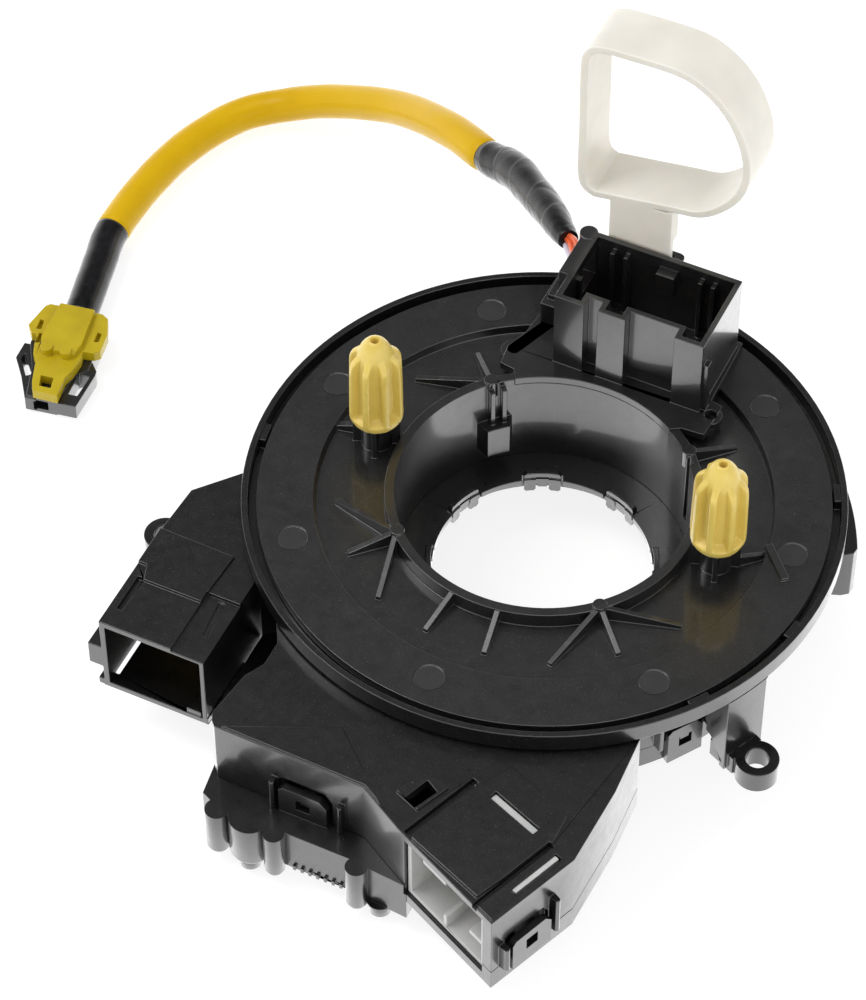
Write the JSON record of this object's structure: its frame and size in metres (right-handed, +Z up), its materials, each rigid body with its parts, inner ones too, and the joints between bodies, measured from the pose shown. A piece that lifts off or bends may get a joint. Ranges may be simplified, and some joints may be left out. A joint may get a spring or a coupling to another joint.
{
  "type": "steering clock spring",
  "caption": "Steering clock spring: a rotor with an upper socket, two bushes and an airbag lead turns in a case with harness sockets; a pull-out loop locks it.",
  "frame": {"origin": "on the steering axis, in the plane of the screw face under the case's ears, inside the lower bore of the rotor's hub", "axes": "+Z up along the steering axis towards the steering wheel, +X through the right-hand post, +Y towards the upper socket"},
  "size_m": [0.1751, 0.1809, 0.0962],
  "materials": {
    "case_black": "fine satin moulded black plastic",
    "cover_black": "satin moulded black plastic",
    "rotor_black": "fine matt moulded black plastic",
    "connector_grey": "pale grey moulded plastic",
    "sleeve_black": "satin moulded black plastic",
    "terminal_metal": "plated terminal metal",
    "gear_white": "natural acetal",
    "inner_dark": "dark plastic inside the case",
    "board_green": "green solder resist",
    "ribbon_amber": "amber ribbon film",
    "bush_yellow": "yellow moulded plastic",
    "wire_orange": "wire insulation",
    "tape_black": "black tape and heat-shrink",
    "sheath_yellow": "yellow vinyl sheath",
    "plug_black": "black moulded plastic",
    "plug_yellow": "yellow moulded plastic",
    "lock_white": "natural translucent plastic",
    "magnet_grey": "sintered magnet"
  },
  "bodies": {
    "stator": {"upper_case": "case_black", "base_cover": "cover_black", "harness_connector": "connector_grey", "harness_pins": "terminal_metal", "socket_pins": "terminal_metal", "gear_carrier": "gear_white", "gear_lid": "inner_dark", "sensor_board": "board_green", "sensor_chips": "inner_dark", "outer_terminal_block": "inner_dark"},
    "rotor": {"rotor_disc": "rotor_black", "hub_sleeve": "sleeve_black", "drive_ring_gear": "gear_white", "tower_housing": "rotor_black", "tower_pins": "terminal_metal", "inner_terminal_block": "inner_dark", "ribbon_cable": "ribbon_amber", "left_bush": "bush_yellow", "right_bush": "bush_yellow", "wire_cover": "rotor_black", "lead_wires": "wire_orange", "lead_tape": "tape_black", "lead_sheath": "sheath_yellow", "lead_shrink": "tape_black", "squib_body": "plug_black", "squib_cover": "plug_yellow"},
    "lock": {"shipping_lock": "lock_white"},
    "pickup_a": {"sensor_gear_a": "gear_white", "magnet_a": "magnet_grey"},
    "pickup_b": {"sensor_gear_b": "gear_white", "magnet_b": "magnet_grey"}
  },
  "joints": [
    {"name": "rotor_turn", "type": "hinge", "parent": "stator", "child": "rotor", "pos_m": [0, 0, 0], "axis": [0, 0, 1], "range_deg": [-900, 900], "deforming": ["ribbon_cable"]},
    {"name": "lock_pull", "type": "slide", "parent": "rotor", "child": "lock", "axis": [0, 0, 1], "range_m": [0, 0.034]},
    {"name": "pickup_a_turn", "type": "hinge", "parent": "stator", "child": "pickup_a", "pos_m": [-0.0169, -0.03625, 0], "axis": [0, 0, 1], "range_deg": [-3601, 3601]},
    {"name": "pickup_b_turn", "type": "hinge", "parent": "stator", "child": "pickup_b", "pos_m": [0.01015, -0.03786, 0], "axis": [0, 0, 1], "range_deg": [-4001, 4001]}
  ],
  "couplings": [
    {"joint": "pickup_a_turn", "follows": "rotor_turn", "ratio": -4},
    {"joint": "pickup_b_turn", "follows": "rotor_turn", "ratio": -4.4444}
  ]
}
